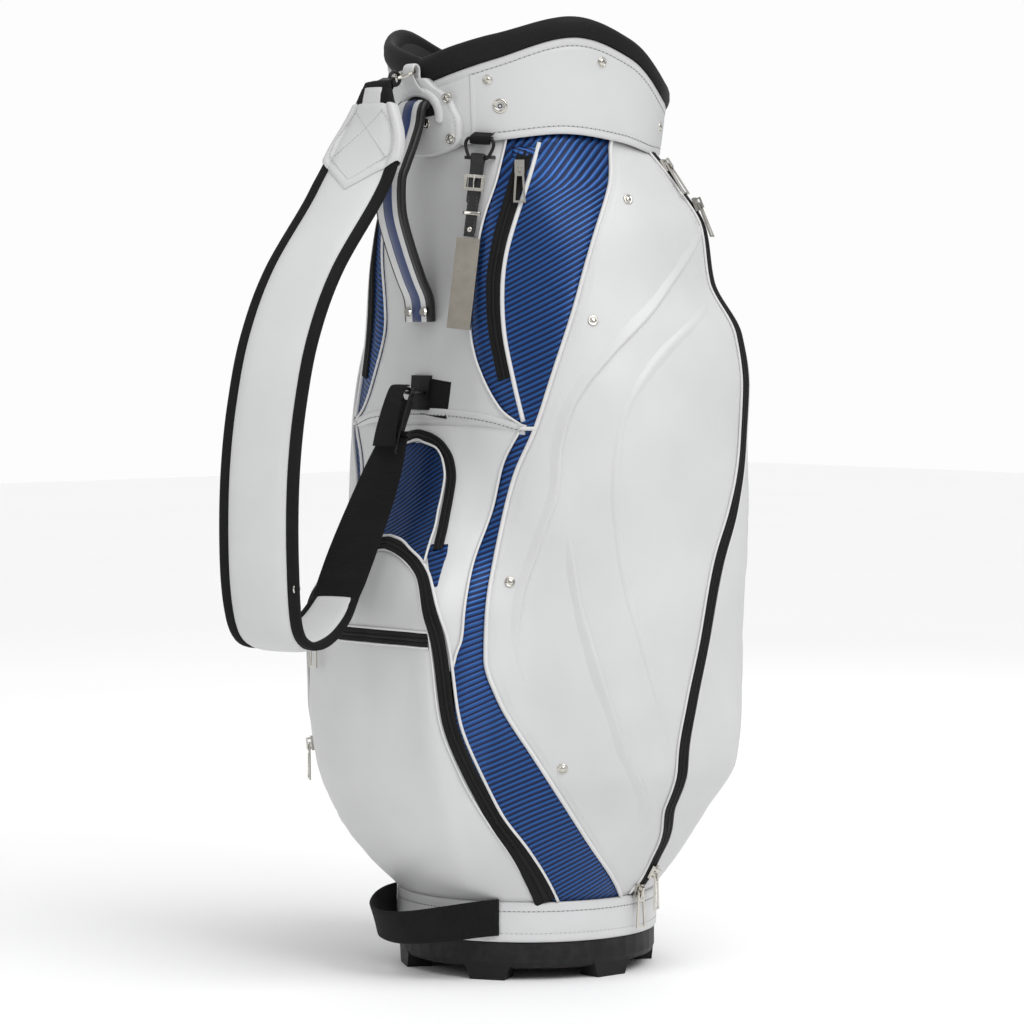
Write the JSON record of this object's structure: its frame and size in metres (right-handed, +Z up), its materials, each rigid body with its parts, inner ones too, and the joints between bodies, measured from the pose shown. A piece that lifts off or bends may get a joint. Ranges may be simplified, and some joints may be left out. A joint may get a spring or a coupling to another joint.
{
  "type": "golf bag",
  "caption": "Upright golf bag with a round moulded foot, divided club tube, padded side pockets, arched front pocket, flared collar, carry handle, shoulder strap and hanging name tag.",
  "frame": {"origin": "on the club tube's axis at floor level, 3 mm below the flat boss in the middle of the foot", "axes": "+Z up along the club tube; -Y towards the front, where the handle, shoulder strap and ball pocket are; +X to the right-hand garment pocket"},
  "size_m": [0.3906, 0.4774, 0.8907],
  "materials": {
    "white_shell": "smooth coated synthetic leather, satin, softly padded",
    "white_trim": "smooth coated synthetic leather, satin",
    "blue_shell": "metallic coated cloth with fine slanting ribs, satin",
    "webbing": "woven black webbing",
    "rim_padding": "soft black knit over foam",
    "moulded_black": "moulded, fine texture",
    "tube_lining": "dark lining on a stiff tube",
    "divider_cloth": "dark stretch cloth",
    "bright_metal": "polished",
    "brushed_plate": "brushed, warm grey",
    "black_leather": "smooth, satin",
    "blue_handle": "white and blue striped leather over a black padded core"
  },
  "bodies": {
    "bag": {"base_cap": "moulded_black", "base_band": "white_trim", "club_tube": "tube_lining", "floor_pad": "tube_lining", "divider_sheet_front": "divider_cloth", "divider_sheet_rear": "divider_cloth", "divider_grid": "tube_lining", "collar": "white_trim", "rim_pad": "rim_padding", "ball_pocket": "white_shell", "accessory_pocket": "white_shell", "spine_panel": "white_shell", "valuables_pocket_right": "blue_shell", "valuables_pocket_left": "blue_shell", "stripe_panel_right": "blue_shell", "stripe_panel_left": "blue_shell", "garment_pocket_right": "white_shell", "garment_pocket_left": "white_shell", "rear_gusset_right": "white_shell", "rear_gusset_left": "white_shell", "back_panel": "white_shell", "ear": "white_trim", "ear_ring": "bright_metal", "carry_handle": "blue_handle", "handle_rivet_left": "bright_metal", "handle_rivet_right": "bright_metal", "base_handle": "webbing", "strap_anchor": "moulded_black", "tag_loop": "moulded_black", "garment_parked_zip_slider": "bright_metal", "garment_floor_zip_slider": "bright_metal"},
    "shoulder_strap": {"strap_hook_top": "moulded_black", "shoulder_pad": "white_shell", "strap_webbing": "webbing", "strap_hook_low": "moulded_black"},
    "name_tag": {"tag_strap": "black_leather", "tag_plate": "brushed_plate", "tag_buckle": "bright_metal"},
    "valuables_zip_right_slider": {"valuables_zip_right_slider": "bright_metal"},
    "valuables_zip_right_tab": {"valuables_zip_right_tab": "bright_metal"},
    "valuables_zip_left_slider": {"valuables_zip_left_slider": "bright_metal"},
    "valuables_zip_left_tab": {"valuables_zip_left_tab": "bright_metal"},
    "garment_upper_zip_right_slider": {"garment_upper_zip_right_slider": "bright_metal"},
    "garment_upper_zip_right_tab": {"garment_upper_zip_right_tab": "bright_metal"},
    "garment_upper_zip_left_slider": {"garment_upper_zip_left_slider": "bright_metal"},
    "garment_upper_zip_left_tab": {"garment_upper_zip_left_tab": "bright_metal"},
    "garment_parked_zip_tab": {"garment_parked_zip_tab": "bright_metal"},
    "garment_lower_zip_right_slider": {"garment_lower_zip_right_slider": "bright_metal"},
    "garment_lower_zip_right_tab": {"garment_lower_zip_right_tab": "bright_metal"},
    "garment_lower_zip_left_slider": {"garment_lower_zip_left_slider": "bright_metal"},
    "garment_lower_zip_left_tab": {"garment_lower_zip_left_tab": "bright_metal"},
    "garment_floor_zip_tab": {"garment_floor_zip_tab": "bright_metal"},
    "ball_side_zip_slider": {"ball_side_zip_slider": "bright_metal"},
    "ball_side_zip_tab": {"ball_side_zip_tab": "bright_metal"},
    "face_zip_slider": {"face_zip_slider": "bright_metal"},
    "face_zip_tab": {"face_zip_tab": "bright_metal"},
    "accessory_zip_slider": {"accessory_zip_slider": "bright_metal"},
    "accessory_zip_tab": {"accessory_zip_tab": "bright_metal"}
  },
  "joints": [
    {"name": "strap_swing", "type": "hinge", "parent": "bag", "child": "shoulder_strap", "pos_m": [0, -0.149, 0.547], "axis": [0, -0.0446, 0.999], "range_deg": [-22, 22]},
    {"name": "tag_swing", "type": "hinge", "parent": "bag", "child": "name_tag", "pos_m": [0.06642, -0.11982, 0.764], "axis": [-0.8746, -0.4848, 0], "range_deg": [0, 95]},
    {"name": "valuables_zip_right_travel", "type": "slide", "parent": "bag", "child": "valuables_zip_right_slider", "axis": [-0.0405, -0.3344, -0.9416], "range_m": [0, 0.0648]},
    {"name": "valuables_zip_right_tab_swing", "type": "hinge", "parent": "valuables_zip_right_slider", "child": "valuables_zip_right_tab", "pos_m": [0.09658, -0.09596, 0.75557], "axis": [-0.6653, -0.7466, 0], "range_deg": [0, 120]},
    {"name": "valuables_zip_left_travel", "type": "slide", "parent": "bag", "child": "valuables_zip_left_slider", "axis": [0.0405, -0.3344, -0.9416], "range_m": [0, 0.0648]},
    {"name": "valuables_zip_left_tab_swing", "type": "hinge", "parent": "valuables_zip_left_slider", "child": "valuables_zip_left_tab", "pos_m": [-0.09658, -0.09596, 0.75557], "axis": [-0.6653, 0.7466, 0], "range_deg": [0, 120]},
    {"name": "garment_upper_zip_right_travel", "type": "slide", "parent": "bag", "child": "garment_upper_zip_right_slider", "axis": [0.2802, 0.262, -0.9235], "range_m": [0, 0.0326]},
    {"name": "garment_upper_zip_right_tab_swing", "type": "hinge", "parent": "garment_upper_zip_right_slider", "child": "garment_upper_zip_right_tab", "pos_m": [0.14284, 0.08967, 0.72397], "axis": [0.5057, -0.8627, 0], "range_deg": [0, 120]},
    {"name": "garment_upper_zip_left_travel", "type": "slide", "parent": "bag", "child": "garment_upper_zip_left_slider", "axis": [-0.2802, 0.262, -0.9235], "range_m": [0, 0.0326]},
    {"name": "garment_upper_zip_left_tab_swing", "type": "hinge", "parent": "garment_upper_zip_left_slider", "child": "garment_upper_zip_left_tab", "pos_m": [-0.14284, 0.08967, 0.72397], "axis": [0.5057, 0.8627, 0], "range_deg": [0, 120]},
    {"name": "garment_parked_zip_tab_swing", "type": "hinge", "parent": "bag", "child": "garment_parked_zip_tab", "pos_m": [0.12424, 0.06723, 0.76072], "axis": [0.3247, -0.9458, 0], "range_deg": [0, 120]},
    {"name": "garment_lower_zip_right_travel", "type": "slide", "parent": "bag", "child": "garment_lower_zip_right_slider", "axis": [0.5048, 0.0036, 0.8632], "range_m": [0, 0.0349]},
    {"name": "garment_lower_zip_right_tab_swing", "type": "hinge", "parent": "garment_lower_zip_right_slider", "child": "garment_lower_zip_right_tab", "pos_m": [0.13468, 0.04307, 0.09364], "axis": [0.388, -0.9217, 0], "range_deg": [-15, 120]},
    {"name": "garment_lower_zip_left_travel", "type": "slide", "parent": "bag", "child": "garment_lower_zip_left_slider", "axis": [-0.5048, 0.0036, 0.8632], "range_m": [0, 0.0349]},
    {"name": "garment_lower_zip_left_tab_swing", "type": "hinge", "parent": "garment_lower_zip_left_slider", "child": "garment_lower_zip_left_tab", "pos_m": [-0.13468, 0.04307, 0.09364], "axis": [0.388, 0.9217, 0], "range_deg": [-15, 120]},
    {"name": "garment_floor_zip_tab_swing", "type": "hinge", "parent": "bag", "child": "garment_floor_zip_tab", "pos_m": [0.13011, 0.02743, 0.07753], "axis": [-0.0087, -1, 0], "range_deg": [-13, 120]},
    {"name": "ball_side_zip_travel", "type": "slide", "parent": "bag", "child": "ball_side_zip_slider", "axis": [-0.0147, -0.0933, 0.9955], "range_m": [0, 0.0743]},
    {"name": "ball_side_zip_tab_swing", "type": "hinge", "parent": "ball_side_zip_slider", "child": "ball_side_zip_tab", "pos_m": [-0.10444, -0.18304, 0.21401], "axis": [-0.8672, 0.498, 0], "range_deg": [-4, 120]},
    {"name": "face_zip_travel", "type": "slide", "parent": "bag", "child": "face_zip_slider", "axis": [1, -0.0067, 0], "range_m": [0, 0.1073]},
    {"name": "face_zip_tab_swing", "type": "hinge", "parent": "face_zip_slider", "child": "face_zip_tab", "pos_m": [-0.07004, -0.20563, 0.324], "axis": [-0.9974, 0.0724, 0], "range_deg": [0, 95]},
    {"name": "accessory_zip_travel", "type": "hinge", "parent": "bag", "child": "accessory_zip_slider", "pos_m": [0, -0.142, 0.453], "axis": [0, 0.9907, -0.1357], "range_deg": [0, 140]},
    {"name": "accessory_zip_tab_swing", "type": "hinge", "parent": "accessory_zip_slider", "child": "accessory_zip_tab", "pos_m": [-0.04902, -0.14688, 0.46786], "axis": [-0.9613, 0.0374, 0.2731], "range_deg": [0, 120]}
  ]
}
